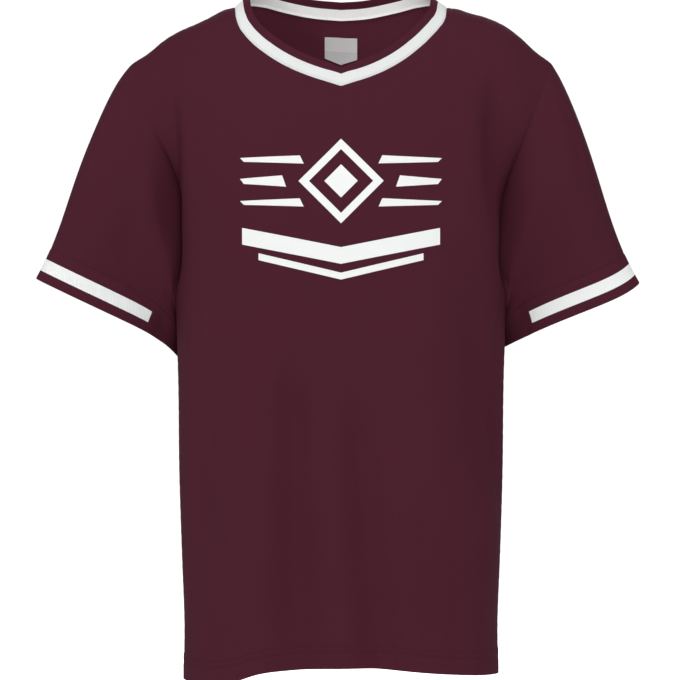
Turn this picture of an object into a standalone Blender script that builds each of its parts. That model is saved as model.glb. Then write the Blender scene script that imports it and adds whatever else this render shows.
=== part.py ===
"""Short-sleeved baseball jersey, filled out as worn with no wearer.

The cloth is a thin wall on one garment surface. The origin is the middle point between the two
side-neck points, the front faces -Y, +Z is up and lengths are metres.
"""
import math

import bpy
import numpy as np

COLLECTION_NAME = "baseball_jersey"

# Cloth
PANEL_WALL = 0.0015
RIB_WALL = 0.0020
LABEL_WALL = 0.0010
SEAM_GAP = 0.0003
MITRE_LIMIT = 1.8
# Order along this direction decides how a rim's faces are split, alike on both sides of a seam
DIAGONAL_WAY = np.array([0.11, 0.37, 1.0])

# Heights below the side-neck points
CHEST_LEVEL = -0.250
ARMPIT_LEVEL = -0.300
SHOULDER_ARC = 0.240

# Neck, shoulders and armholes
SIDE_NECK = 0.1112
ARMHOLE_TURN = math.radians(72.0)
ARMHOLE_BOTTOM_SHARE = 0.30
ARMHOLE_RISE_POWER = 1.35
SHOULDER_END_SHARE = 0.945

# Rib bands and label. The collar's ways are the directions in which it stands up from its seam
# in the middle of the front, in the middle of the back and at the wearer's left side.
COLLAR_WIDTH = 0.020
COLLAR_WAY_FRONT = (0.0, 0.30, 0.95)
COLLAR_WAY_BACK = (0.0, -0.12, 0.99)
COLLAR_WAY_SIDE = (-0.70, 0.0, 0.72)
COLLAR_TURN_POWER = 1.5
CUFF_HEIGHT = 0.035
LABEL_WIDTH = 0.035
LABEL_HEIGHT = 0.022
LABEL_TIP = 0.006
LABEL_TOP = -0.024
LABEL_TILT = math.radians(2.0)

# Grid counts, and where half a panel's columns are parted at the side-neck point
NECK_COLUMNS = 9
SHOULDER_COLUMNS = 6
LOWER_ROWS = 13
ARMHOLE_ROWS = 16
SLEEVE_ROWS = 8
CUFF_ROWS = 3
COLLAR_ROWS = 3
LABEL_COLUMNS = 6
LABEL_ROWS = 4
EDGE_SAMPLES = 300
LINE_SAMPLES = 100
NECK_SHARE = 0.56
COLUMN_POWER = 1.12

# Rings of the body. level is the height above the chest line, and above that line it is
# measured over the shoulder, up to SHOULDER_ARC at the shoulder seam.
BODY_RINGS = {
    "level":       (-0.454, -0.392, -0.332, -0.242, -0.130, -0.100, -0.070, -0.050,
                    0.000, 0.035, 0.074, 0.103, 0.144, 0.190, 0.240),
    "half_width":  (0.1650, 0.1645, 0.1668, 0.1697, 0.1712, 0.1722, 0.1730, 0.1742,
                    0.1800, 0.1860, 0.1960, 0.2070, 0.2200, 0.2290, 0.2350),
    "front_depth": (0.1030, 0.1040, 0.1060, 0.1100, 0.1160, 0.1190, 0.1200, 0.1210,
                    0.1220, 0.1220, 0.1220, 0.1220, 0.1220, 0.1220, 0.1220),
    "back_depth":  (0.1000, 0.0990, 0.0980, 0.0990, 0.1050, 0.1090, 0.1110, 0.1120,
                    0.1160, 0.1170, 0.1180, 0.1180, 0.1180, 0.1180, 0.1180),
    "squareness":  (2.32, 2.34, 2.36, 2.37, 2.36, 2.35, 2.35, 2.35,
                    2.35, 2.35, 2.35, 2.35, 2.35, 2.35, 2.35),
}

# Height of the shoulder line, and of the line it would follow inside the neck
SHOULDER_LINE = {
    "across": (0.1112, 0.124, 0.136, 0.153, 0.170, 0.187, 0.203, 0.222, 0.240),
    "height": (-0.0005, -0.0042, -0.0105, -0.018, -0.025, -0.035, -0.0485, -0.061, -0.076),
}
# The wearer's left shoulder hangs higher by this much
LEFT_SHOULDER = {
    "across": (0.101, 0.112, 0.131, 0.152, 0.1665, 0.177, 0.1845, 0.200, 0.224, 0.240),
    "lift":   (0.0, 0.0008, 0.0036, 0.0070, 0.0066, 0.0055, 0.0040, 0.0028, 0.0018, 0.0018),
}
FRONT_NECK_CROWN = {"across": (0.0, 0.060, 0.096), "height": (0.006, 0.007, 0.004)}
BACK_NECK_CROWN = {"across": (0.0, 0.030, 0.062, 0.085, 0.101),
                   "height": (0.053, 0.051, 0.0455, 0.031, 0.014)}

# Necklines, from the middle to the side-neck point
FRONT_NECKLINE = {
    "across": (0.0, 0.012, 0.036, 0.0525, 0.0774, 0.0935, 0.1015, 0.1078, 0.1102, 0.1112),
    "height": (-0.0894, -0.0847, -0.0773, -0.0696, -0.0542, -0.0405, -0.0310, -0.0190, -0.0095,
               -0.0005),
}
BACK_NECKLINE = {
    "across": (0.0, 0.030, 0.062, 0.085, 0.101, 0.1112),
    "height": (-0.0065, -0.0045, 0.0012, 0.0060, 0.0055, -0.0005),
}

# Hem heights across the body, from the wearer's right side seam to the left one
FRONT_HEM = {
    "across": (-0.165, -0.140, -0.110, -0.087, -0.050, 0.0, 0.062, 0.110, 0.138, 0.165),
    "height": (-0.7050, -0.7065, -0.7020, -0.6940, -0.6896, -0.6865, -0.6896, -0.6944,
               -0.6970, -0.6990),
}
BACK_HEM = {"across": (-0.165, -0.060, 0.070, 0.165), "height": (-0.7050, -0.6990, -0.7000, -0.6990)}

# Soft troughs in the panels, each from a top point to a bottom point. They fade in over the
# first part of their length, out over the last part, and away towards the side seams.
FOLD_TOP_FADE = 1.0 / 3.0
FOLD_BOTTOM_FADE = 0.25
FOLD_SIDE_POWER = 10
FRONT_FOLDS = {
    "top_across":    (-0.060, 0.008, 0.116, -0.108, 0.122),
    "top_height":    (-0.335, -0.390, -0.260, -0.285, -0.570),
    "bottom_across": (-0.072, 0.032, 0.166, -0.154, 0.121),
    "bottom_height": (-0.750, -0.730, -0.560, -0.640, -0.690),
    "half_width":    (0.024, 0.018, 0.024, 0.017, 0.009),
    "depth":         (0.0105, 0.0075, 0.0090, 0.0065, 0.0025),
}
BACK_FOLDS = {
    "top_across":    (0.070, -0.020, -0.112, 0.120),
    "top_height":    (-0.330, -0.400, -0.270, -0.300),
    "bottom_across": (0.060, -0.032, -0.150, 0.150),
    "bottom_height": (-0.740, -0.720, -0.580, -0.650),
    "half_width":    (0.018, 0.014, 0.018, 0.014),
    "depth":         (0.0055, 0.0035, 0.0060, 0.0045),
}

# Directions in which a sleeve's cloth leaves the armhole and reaches the cuff's edge.
# across points away from the body, ahead points to the front.
SLEEVE_START = {
    "place":  ("underarm", "front", "top", "back"),
    "across": (0.50, 0.80, 0.57, 0.80),
    "ahead":  (-0.10, 0.45, 0.00, -0.45),
    "up":     (-0.80, -0.40, -0.82, -0.40),
}
SLEEVE_END = {
    "place":  ("underarm", "front", "top", "back"),
    "across": (0.05, 0.40, 0.44, 0.40),
    "ahead":  (0.00, 0.05, 0.00, -0.05),
    "up":     (-1.00, -0.92, -0.90, -0.92),
}

# The two sleeves, named for the wearer's sides: the outer and the underarm corner of each
# cuff's edge, how far its top line swings out from the middle direction, and how far the edge
# sags at the underarm and curls up at the outer corner, with the powers of both curves
SLEEVES = {
    "name":         ("left", "right"),
    "hand":         (1.0, -1.0),
    "outer_across": (0.3150, 0.3215),
    "outer_height": (-0.2970, -0.2855),
    "inner_across": (0.1745, 0.1745),
    "inner_height": (-0.3530, -0.3560),
    "swing":        (-0.06, 0.04),
    "sag":          (0.0060, 0.0130),
    "sag_power":    (5.0, 11.0),
    "curl":         (0.0070, 0.0),
    "curl_power":   (10.0, 1.0),
}
CUFF_HALF_DEPTH = 0.047
CUFF_MIDDLE_Y = 0.010
CUFF_INNER_SETBACK = 0.026
CUFF_SQUARENESS = 2.3

# 1 where a grid's rows and columns already turn its face outwards, -1 where they turn it inwards
FACING = {
    "front": 1.0, "back": -1.0, "collar": 1.0, "label": 1.0,
    "sleeve_left": -1.0, "cuff_left": -1.0, "sleeve_right": 1.0, "cuff_right": 1.0,
}


def smooth_curve(known, values, wanted):
    """Cubic through a table's points, with each slope taken from the neighbours."""
    known = np.asarray(known, dtype=float)
    values = np.asarray(values, dtype=float)
    slopes = np.gradient(values, known)
    wanted = np.clip(wanted, known[0], known[-1])
    place = np.clip(np.searchsorted(known, wanted, side="right") - 1, 0, len(known) - 2)
    step = known[place + 1] - known[place]
    part = (wanted - known[place]) / step
    return (values[place] * (1 + 2 * part) * (1 - part) ** 2
            + slopes[place] * step * part * (1 - part) ** 2
            + values[place + 1] * part ** 2 * (3 - 2 * part)
            + slopes[place + 1] * step * part ** 2 * (part - 1))


def ring_value(column, level):
    """A column of the body's ring table at any level."""
    return smooth_curve(BODY_RINGS["level"], BODY_RINGS[column], level)


def crown_height(across, side):
    """Height at which a vertical cut through the body closes over the shoulder."""
    inner = FRONT_NECK_CROWN if side < 0 else BACK_NECK_CROWN
    known = inner["across"] + SHOULDER_LINE["across"]
    values = inner["height"] + SHOULDER_LINE["height"]
    lift = smooth_curve(LEFT_SHOULDER["across"], LEFT_SHOULDER["lift"], across)
    return smooth_curve(known, values, np.abs(across)) + lift


def body_point(turn, level, side):
    """Surface point of the front (side -1) or back (side 1) at a turn round the body."""
    width = ring_value("half_width", level)
    depth = ring_value("front_depth" if side < 0 else "back_depth", level)
    power = 2.0 / ring_value("squareness", level)
    x = width * np.sign(turn) * np.abs(np.sin(turn)) ** power
    lean = np.clip(level, 0.0, SHOULDER_ARC) / SHOULDER_ARC * math.pi / 2
    y = side * depth * np.abs(np.cos(turn)) ** power * np.cos(lean)
    over = CHEST_LEVEL + (crown_height(x, side) - CHEST_LEVEL) * np.sin(lean)
    z = np.where(level > 0.0, over, CHEST_LEVEL + level)
    return np.stack([x, y, z], axis=-1)


def surface_place(across, height, side):
    """Turn and level of the surface point with this x and z."""
    share = (height - CHEST_LEVEL) / (crown_height(across, side) - CHEST_LEVEL)
    lean = np.arcsin(np.clip(share, 0.0, 1.0))
    level = np.where(height > CHEST_LEVEL, lean / (math.pi / 2) * SHOULDER_ARC,
                     height - CHEST_LEVEL)
    share = np.clip(np.abs(across) / ring_value("half_width", level), 0.0, 1.0)
    turn = np.arcsin(share ** (ring_value("squareness", level) / 2.0))
    return np.sign(across) * turn, level


def evenly(points, count):
    """Places (0 to 1) along sampled points that split their length into equal parts."""
    steps = np.linalg.norm(np.diff(points, axis=0), axis=1)
    length = np.concatenate([[0.0], np.cumsum(steps)])
    share = np.linspace(0.0, 1.0, len(points))
    return np.interp(np.linspace(0.0, length[-1], count + 1), length, share)


def top_edge(side):
    """Turn and level along half of a panel's top edge: the neckline, then the shoulder seam."""
    table = FRONT_NECKLINE if side < 0 else BACK_NECKLINE
    sample = np.linspace(0.0, SIDE_NECK, EDGE_SAMPLES)
    turn, level = surface_place(sample, smooth_curve(table["across"], table["height"], sample), side)
    level[-1] = SHOULDER_ARC
    share = evenly(body_point(turn, level, side), NECK_COLUMNS) * (len(sample) - 1)
    index = np.arange(len(sample))
    neck_turn = np.interp(share, index, turn)
    neck_level = np.interp(share, index, level)
    width = ring_value("half_width", SHOULDER_ARC)
    power = ring_value("squareness", SHOULDER_ARC) / 2.0
    across = np.linspace(SIDE_NECK, width * SHOULDER_END_SHARE, SHOULDER_COLUMNS + 1)[1:]
    shoulder_turn = np.arcsin((across / width) ** power)
    shoulder_level = np.full(SHOULDER_COLUMNS, SHOULDER_ARC)
    return (np.concatenate([neck_turn, shoulder_turn]),
            np.concatenate([neck_level, shoulder_level]))


def column_places():
    """Columns of half a panel, from 0 in the middle to 1 at the side."""
    neck = np.linspace(0.0, NECK_SHARE, NECK_COLUMNS + 1)
    shoulder = np.linspace(NECK_SHARE, 1.0, SHOULDER_COLUMNS + 1)[1:]
    return np.concatenate([neck, shoulder])


def mirrored(half, sign):
    """A whole row from its right half: sign -1 for what changes sides, 1 for what doesn't."""
    return np.concatenate([sign * half[:0:-1], half])


def fold_depth(points, folds):
    """Depth of the troughs at each point: round across, fading out at both ends."""
    total = np.zeros(points.shape[:-1])
    for row in range(len(folds["depth"])):
        top = np.array([folds["top_across"][row], folds["top_height"][row]])
        bottom = np.array([folds["bottom_across"][row], folds["bottom_height"][row]])
        run = bottom - top
        offset = points[..., (0, 2)] - top
        along = offset @ run / (run @ run)
        near = offset - np.clip(along, 0.0, 1.0)[..., None] * run
        away = np.linalg.norm(near, axis=-1) / folds["half_width"][row]
        ends = np.minimum(along / FOLD_TOP_FADE, (1.0 - along) / FOLD_BOTTOM_FADE)
        fade = np.clip(ends, 0.0, 1.0)
        total += folds["depth"][row] * np.exp(-away ** 2) * fade * fade * (3 - 2 * fade)
    return total


def grid_normals(points, closed):
    """Unit normals of a grid from its row and column directions."""
    along_rows = np.gradient(points, axis=0)
    if closed:
        along_columns = np.roll(points, -1, axis=1) - np.roll(points, 1, axis=1)
    else:
        along_columns = np.gradient(points, axis=1)
    normals = np.cross(along_columns, along_rows)
    return normals / np.linalg.norm(normals, axis=-1, keepdims=True)


def panel_grid(side):
    """Grid of a body panel: rows from the hem to the shoulder, columns across the body."""
    half = column_places()
    place = mirrored(half, -1.0)
    foot_turn = np.sign(place) * (math.pi / 2) * np.abs(place) ** COLUMN_POWER
    table = FRONT_HEM if side < 0 else BACK_HEM
    hem_across = body_point(foot_turn, np.full(len(place), BODY_RINGS["level"][0]), side)[:, 0]
    hem = smooth_curve(table["across"], table["height"], hem_across)
    rise = np.linspace(0.0, 1.0, LOWER_ROWS + 1)[:-1, None]
    lower_level = hem * (1 - rise) + ARMPIT_LEVEL * rise - CHEST_LEVEL
    lower_turn = np.broadcast_to(foot_turn, lower_level.shape)

    turn, level = top_edge(side)
    top_turn = mirrored(turn, -1.0)
    top_level = mirrored(level, 1.0)
    rise = np.linspace(0.0, 1.0, ARMHOLE_ROWS + 1)[:, None]
    armpit = ARMPIT_LEVEL - CHEST_LEVEL
    bend = np.clip(1 - rise / ARMHOLE_BOTTOM_SHARE, 0.0, 1.0) ** 2
    arm_turn = ARMHOLE_TURN + (math.pi / 2 - ARMHOLE_TURN) * bend
    arm_turn += (turn[-1] - ARMHOLE_TURN) * rise
    arm_level = armpit + (SHOULDER_ARC - armpit) * rise ** ARMHOLE_RISE_POWER
    plain_turn = math.pi / 2 * (1 - rise) + turn[-1] * rise
    plain_level = armpit * (1 - rise) + SHOULDER_ARC * rise
    upper_turn = foot_turn * (1 - rise) + top_turn * rise
    upper_turn = upper_turn + place * np.abs(place) * (arm_turn - plain_turn)
    upper_level = armpit * (1 - rise) + top_level * rise
    upper_level = upper_level + place ** 2 * (arm_level - plain_level)

    points = body_point(np.concatenate([lower_turn, upper_turn]),
                        np.concatenate([lower_level, upper_level]), side)
    normals = side * grid_normals(points, False)
    folds = fold_depth(points, FRONT_FOLDS if side < 0 else BACK_FOLDS)
    edge_fade = 1 - np.abs(place) ** FOLD_SIDE_POWER
    return points - normals * (folds * edge_fade)[..., None]


def round_places(table, angle):
    """Directions round a sleeve, through the four rows underarm, front, top and back."""
    rows = np.stack([table["across"], table["ahead"], table["up"]], axis=-1)
    under, front, top, back = rows
    angle = angle[:, None]
    value = (rows.mean(axis=0) + (under - top) / 2 * np.cos(angle)
             + (front - back) / 2 * np.sin(angle)
             + (under - front + top - back) / 4 * np.cos(2 * angle))
    return value / np.linalg.norm(value, axis=1, keepdims=True)


def sleeve_curves(armhole, row):
    """Start, end and end directions of the cloth's lengthwise lines round a sleeve."""
    count = len(armhole)
    hand = SLEEVES["hand"][row]
    angle = 2 * math.pi * np.arange(count) / count
    turned = np.array([hand, -1.0, 1.0])
    start_way = round_places(SLEEVE_START, angle)
    start_way[:, 0] += SLEEVES["swing"][row] * (1 - np.cos(angle)) / 2
    start_way *= turned
    end_way = round_places(SLEEVE_END, angle) * turned
    outer = np.array([SLEEVES["outer_across"][row], 0.0, SLEEVES["outer_height"][row]])
    inner = np.array([SLEEVES["inner_across"][row], 0.0, SLEEVES["inner_height"][row]])
    power = 2.0 / CUFF_SQUARENESS
    reach = np.sign(np.cos(angle)) * np.abs(np.cos(angle)) ** power
    ahead = np.sign(np.sin(angle)) * np.abs(np.sin(angle)) ** power
    ring = (outer + inner) / 2 + (inner - outer) / 2 * reach[:, None]
    ring[:, 0] *= hand
    ring[:, 1] = CUFF_MIDDLE_Y - CUFF_HALF_DEPTH * ahead + CUFF_INNER_SETBACK * (1 + reach) / 2
    ring[:, 2] -= SLEEVES["sag"][row] * ((1 + reach) / 2) ** SLEEVES["sag_power"][row]
    ring[:, 2] += SLEEVES["curl"][row] * ((1 - reach) / 2) ** SLEEVES["curl_power"][row]
    return armhole, ring, start_way, end_way


def sleeve_point(curves, share):
    """Points at shares (rows by columns) of the way from the armhole to the cuff's edge."""
    start, end, start_way, end_way = curves
    length = np.linalg.norm(end - start, axis=1, keepdims=True)
    part = share[..., None]
    return (start * (1 + 2 * part) * (1 - part) ** 2 + start_way * length * part * (1 - part) ** 2
            + end * part ** 2 * (3 - 2 * part) + end_way * length * part ** 2 * (part - 1))


def sleeve_grids(armhole, row):
    """Grids of a sleeve and its cuff, parted at the cuff's height above its edge."""
    curves = sleeve_curves(armhole, row)
    fine = np.linspace(0.0, 1.0, LINE_SAMPLES + 1)[:, None] * np.ones(len(armhole))
    lines = sleeve_point(curves, fine)
    steps = np.linalg.norm(np.diff(lines, axis=0), axis=2)
    length = np.concatenate([np.zeros((1, len(armhole))), np.cumsum(steps, axis=0)])
    seam = np.array([np.interp(length[-1, c] - CUFF_HEIGHT, length[:, c], fine[:, c])
                     for c in range(len(armhole))])
    sleeve = sleeve_point(curves, np.linspace(0.0, 1.0, SLEEVE_ROWS + 1)[:, None] * seam)
    rows = np.linspace(0.0, 1.0, CUFF_ROWS + 1)[:, None]
    cuff = sleeve_point(curves, seam + (1 - seam) * rows)
    return sleeve, cuff


def collar_grid(front, back):
    """Grid of the collar: rows from the neck seam to the collar's edge, columns round the neck."""
    first = SHOULDER_COLUMNS
    last = SHOULDER_COLUMNS + 2 * NECK_COLUMNS
    seam = np.concatenate([front[-1, first:last + 1], back[-1, last - 1:first:-1]])
    ahead = np.clip(-np.sign(seam[:, 1]), 0.0, 1.0)[:, None]
    sideways = (np.abs(seam[:, 0]) / SIDE_NECK)[:, None] ** COLLAR_TURN_POWER
    middle = ahead * np.array(COLLAR_WAY_FRONT) + (1 - ahead) * np.array(COLLAR_WAY_BACK)
    side = np.tile(COLLAR_WAY_SIDE, (len(seam), 1))
    side[:, 0] *= np.sign(seam[:, 0])
    way = middle * (1 - sideways) + side * sideways
    tangent = np.roll(seam, -1, axis=0) - np.roll(seam, 1, axis=0)
    tangent /= np.linalg.norm(tangent, axis=1, keepdims=True)
    way -= tangent * np.sum(way * tangent, axis=1, keepdims=True)
    way /= np.linalg.norm(way, axis=1, keepdims=True)
    rows = np.linspace(0.0, COLLAR_WIDTH, COLLAR_ROWS + 1)[:, None, None]
    return seam + way * rows


def label_grid():
    """Grid of the neck label, on the back panel's inner side, with a shallow pointed foot."""
    place = np.linspace(-1.0, 1.0, LABEL_COLUMNS + 1)
    drop = np.linspace(1.0, 0.0, LABEL_ROWS + 1)[:, None]
    length = LABEL_HEIGHT + LABEL_TIP * (1 - np.abs(place))
    across = np.broadcast_to(place * LABEL_WIDTH / 2, (LABEL_ROWS + 1, LABEL_COLUMNS + 1))
    height = LABEL_TOP - drop * length - across * math.tan(LABEL_TILT)
    turn, level = surface_place(across, height, 1.0)
    points = body_point(turn, level, 1.0)
    outward = -grid_normals(points, False)
    points = points - outward * (PANEL_WALL / 2 + SEAM_GAP + LABEL_WALL / 2)
    return points, -outward


def shared_normals(grids, closed):
    """Normals of all grids, made common where grids meet, lengthened for the mitre there."""
    own = {name: grid_normals(points, closed[name]) * FACING[name]
           for name, points in grids.items()}
    sums = {}
    for name, points in grids.items():
        for key, normal in zip(map(tuple, np.round(points.reshape(-1, 3), 6)),
                               own[name].reshape(-1, 3)):
            sums.setdefault(key, []).append(normal)
    result = {}
    for name, points in grids.items():
        flat = own[name].reshape(-1, 3)
        keys = map(tuple, np.round(points.reshape(-1, 3), 6))
        mean = np.array([np.sum(sums[key], axis=0) for key in keys])
        mean /= np.linalg.norm(mean, axis=1, keepdims=True)
        cosine = np.clip(np.sum(mean * flat, axis=1, keepdims=True), 1.0 / MITRE_LIMIT, 1.0)
        result[name] = (mean / cosine).reshape(points.shape)
    return result


def edge_shift(edge, inside, normals, corners):
    """Move of an edge's points by half a seam gap, square to the seam and into the piece.

    corners are the places where an open edge turns sharply: each stretch between two of them
    moves by itself, and its end points move with both. A closed edge has none.
    """
    if corners is None:
        tangent = np.roll(edge, -1, axis=0) - np.roll(edge, 1, axis=0)
        return half_gap_across(edge, inside, normals, tangent)
    shift = np.zeros(edge.shape)
    for first, last in zip(corners[:-1], corners[1:]):
        part = slice(first, last + 1)
        tangent = np.gradient(edge[part], axis=0)
        shift[part] += half_gap_across(edge[part], inside[part], normals[part], tangent)
    return shift


def half_gap_across(edge, inside, normals, tangent):
    """Half a seam gap square to the tangent and the normals, towards the inside points."""
    across = np.cross(normals, tangent)
    across /= np.linalg.norm(across, axis=1, keepdims=True)
    across *= np.sign(np.sum(across * (inside - edge), axis=1, keepdims=True))
    return across * SEAM_GAP / 2


def trimmed(points, normals, closed):
    """The grid with every edge drawn in by half a seam gap."""
    result = points.copy()
    if closed:
        result[0] += edge_shift(points[0], points[1], normals[0], None)
        result[-1] += edge_shift(points[-1], points[-2], normals[-1], None)
        return result
    last_row = len(points) - 1
    last_column = points.shape[1] - 1
    neck = (0, SHOULDER_COLUMNS, SHOULDER_COLUMNS + 2 * NECK_COLUMNS, last_column)
    side = (0, LOWER_ROWS, last_row)
    result[0] += edge_shift(points[0], points[1], normals[0], (0, last_column))
    result[-1] += edge_shift(points[-1], points[-2], normals[-1], neck)
    result[:, 0] += edge_shift(points[:, 0], points[:, 1], normals[:, 0], side)
    result[:, -1] += edge_shift(points[:, -1], points[:, -2], normals[:, -1], side)
    return result


def same_diagonals(rims, points):
    """Rim quads turned so that two rims that face each other at a seam are split alike."""
    rank = points @ DIAGONAL_WAY
    swapped = rank[rims[:, 0]] > rank[rims[:, 1]]
    rims[swapped] = np.roll(rims[swapped], -1, axis=1)
    return rims


def wall_mesh(name, points, normals, thickness, closed):
    """Closed wall on a grid: an outer and an inner sheet joined by rims along the edges."""
    rows, columns = points.shape[:2]
    outer = (points + normals * thickness / 2).reshape(-1, 3)
    inner = (points - normals * thickness / 2).reshape(-1, 3)
    index = np.arange(rows * columns).reshape(rows, columns)
    if closed:
        index = np.concatenate([index, index[:, :1]], axis=1)
    quads = np.stack([index[:-1, :-1], index[:-1, 1:], index[1:, 1:], index[1:, :-1]], axis=-1)
    quads = quads.reshape(-1, 4)
    count = rows * columns
    edges = [index[0], index[-1, ::-1]]
    if not closed:
        edges += [index[::-1, 0], index[:, -1]]
    rims = [np.stack([edge[1:], edge[:-1], edge[:-1] + count, edge[1:] + count], axis=-1)
            for edge in edges]
    rims = same_diagonals(np.concatenate(rims), points.reshape(-1, 3))
    quads = np.concatenate([quads, quads[:, [0, 3, 2, 1]] + count, rims])
    faces = np.concatenate([quads[:, [0, 1, 2]], quads[:, [0, 2, 3]]])
    if FACING[name] < 0:
        faces = faces[:, ::-1]
    mesh = bpy.data.meshes.new(name)
    mesh.from_pydata(np.concatenate([outer, inner]).tolist(), [], faces.tolist())
    mesh.update()
    mesh.shade_smooth()
    mesh.set_sharp_from_angle(angle=math.radians(50.0))
    return mesh


def cloth_material(name, color, roughness):
    """Plain Principled material of a cloth."""
    material = bpy.data.materials.new(name)
    material.use_nodes = True
    shader = material.node_tree.nodes["Principled BSDF"]
    shader.inputs["Base Color"].default_value = (*color, 1.0)
    shader.inputs["Roughness"].default_value = roughness
    shader.inputs["Metallic"].default_value = 0.0
    material.diffuse_color = (*color, 1.0)
    return material


def build_jersey():
    """Build every cut piece as a named wall."""
    for thing in list(bpy.data.objects):
        bpy.data.objects.remove(thing)
    collection = bpy.data.collections.new(COLLECTION_NAME)
    bpy.context.scene.collection.children.link(collection)

    front = panel_grid(-1.0)
    back = panel_grid(1.0)
    grids = {"front": front, "back": back, "collar": collar_grid(front, back)}
    for row, name in enumerate(SLEEVES["name"]):
        column = -1 if SLEEVES["hand"][row] > 0 else 0
        rising = front[LOWER_ROWS:, column]
        falling = back[-2:LOWER_ROWS:-1, column]
        sleeve, cuff = sleeve_grids(np.concatenate([rising, falling]), row)
        grids["sleeve_" + name] = sleeve
        grids["cuff_" + name] = cuff
    closed = {name: name not in ("front", "back") for name in grids}
    normals = shared_normals(grids, closed)

    maroon = cloth_material("jersey_cloth", (0.070, 0.016, 0.027), 0.75)
    rib = cloth_material("rib_knit", (0.070, 0.016, 0.027), 0.85)
    grey = cloth_material("label_satin", (0.46, 0.44, 0.45), 0.60)
    for name, points in grids.items():
        is_rib = name.startswith(("collar", "cuff"))
        cut = trimmed(points, normals[name], closed[name])
        mesh = wall_mesh(name, cut, normals[name], RIB_WALL if is_rib else PANEL_WALL, closed[name])
        mesh.materials.append(rib if is_rib else maroon)
        collection.objects.link(bpy.data.objects.new(name, mesh))

    points, normals = label_grid()
    mesh = wall_mesh("label", points, normals, LABEL_WALL, False)
    mesh.materials.append(grey)
    collection.objects.link(bpy.data.objects.new("label", mesh))


build_jersey()
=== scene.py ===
import math

import bpy
import numpy as np
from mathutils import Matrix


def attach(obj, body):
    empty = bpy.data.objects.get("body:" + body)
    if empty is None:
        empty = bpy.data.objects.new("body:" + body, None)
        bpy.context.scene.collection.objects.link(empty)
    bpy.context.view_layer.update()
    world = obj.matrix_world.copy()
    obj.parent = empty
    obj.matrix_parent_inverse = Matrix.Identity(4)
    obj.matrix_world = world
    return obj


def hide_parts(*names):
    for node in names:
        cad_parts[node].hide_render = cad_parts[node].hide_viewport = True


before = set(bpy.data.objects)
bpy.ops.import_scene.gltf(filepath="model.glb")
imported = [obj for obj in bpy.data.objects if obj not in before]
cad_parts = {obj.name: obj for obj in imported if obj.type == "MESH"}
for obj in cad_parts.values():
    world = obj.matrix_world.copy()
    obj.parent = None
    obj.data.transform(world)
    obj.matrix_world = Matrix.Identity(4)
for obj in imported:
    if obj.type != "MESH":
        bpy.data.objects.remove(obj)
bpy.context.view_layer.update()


# Body panels. The front and the back are cut from maroon polyester interlock and sewn together
# at the shoulders and sides. The hem is turned up once and held by two needle lines, and the
# cloth hangs from the shoulders in a few soft, long folds.

CHEST_LEVEL = -0.250
ARMPIT_LEVEL = -0.300
SHOULDER_ARC = 0.240
SIDE_NECK = 0.1112
ARMHOLE_TURN = math.radians(72.0)
ARMHOLE_BOTTOM_SHARE = 0.30
ARMHOLE_RISE_POWER = 1.35
SHOULDER_END_SHARE = 0.945
NECK_SHARE = 0.56
COLUMN_POWER = 1.12

CLOTH_THICKNESS = 0.0011
HEM_HEIGHT = 0.026
HEM_RISE = 0.0005
NEEDLE_LINES = (0.0235, 0.0175)
HEM_STEP = 0.0015
NEEDLE_GROOVE = {"depth": 0.0003, "half_width": 0.0012, "unevenness": 0.35,
                 "waves": (1130.0, 290.0), "start": 900.0}
SEAM_VALLEY = {"depth": 0.0012, "half_width": 0.0022}
ARMHOLE_SEAM_SHARE = 0.15
PUCKER = {"depth": 0.00035, "reach": 0.010, "pitch": (0.0131, 0.0087), "second": 0.7, "start": 1.3,
          "fade": 2.2}
# Slow waves of the hanging cloth: depth, radians a metre along x, y and z, and start. They fade
# within SLOW_FADE of the side seams.
SLOW_WAVES = ((0.00045, 61.0, 9.0, 17.0, 0.6), (0.00035, 38.0, -21.0, -29.0, 2.1),
              (0.00020, 97.0, 37.0, 23.0, 4.0))
SLOW_FADE = 0.04

# Rings of the body. level is the height above the chest line, and above that line it is
# measured over the shoulder, up to SHOULDER_ARC at the shoulder seam.
BODY_RINGS = {
    "level":       (-0.454, -0.392, -0.332, -0.242, -0.130, -0.100, -0.070, -0.050,
                    0.000, 0.035, 0.074, 0.103, 0.144, 0.190, 0.240),
    "half_width":  (0.1650, 0.1645, 0.1668, 0.1697, 0.1712, 0.1722, 0.1730, 0.1742,
                    0.1800, 0.1860, 0.1960, 0.2070, 0.2200, 0.2290, 0.2350),
    "front_depth": (0.1030, 0.1040, 0.1060, 0.1100, 0.1160, 0.1190, 0.1200, 0.1210,
                    0.1220, 0.1220, 0.1220, 0.1220, 0.1220, 0.1220, 0.1220),
    "back_depth":  (0.1000, 0.0990, 0.0980, 0.0990, 0.1050, 0.1090, 0.1110, 0.1120,
                    0.1160, 0.1170, 0.1180, 0.1180, 0.1180, 0.1180, 0.1180),
    "squareness":  (2.32, 2.34, 2.36, 2.37, 2.36, 2.35, 2.35, 2.35,
                    2.35, 2.35, 2.35, 2.35, 2.35, 2.35, 2.35),
}

# Height of the shoulder line, and of the line it would follow inside the neck
SHOULDER_LINE = {
    "across": (0.1112, 0.124, 0.136, 0.153, 0.170, 0.187, 0.203, 0.222, 0.240),
    "height": (-0.0005, -0.0042, -0.0105, -0.018, -0.025, -0.035, -0.0485, -0.061, -0.076),
}
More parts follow.
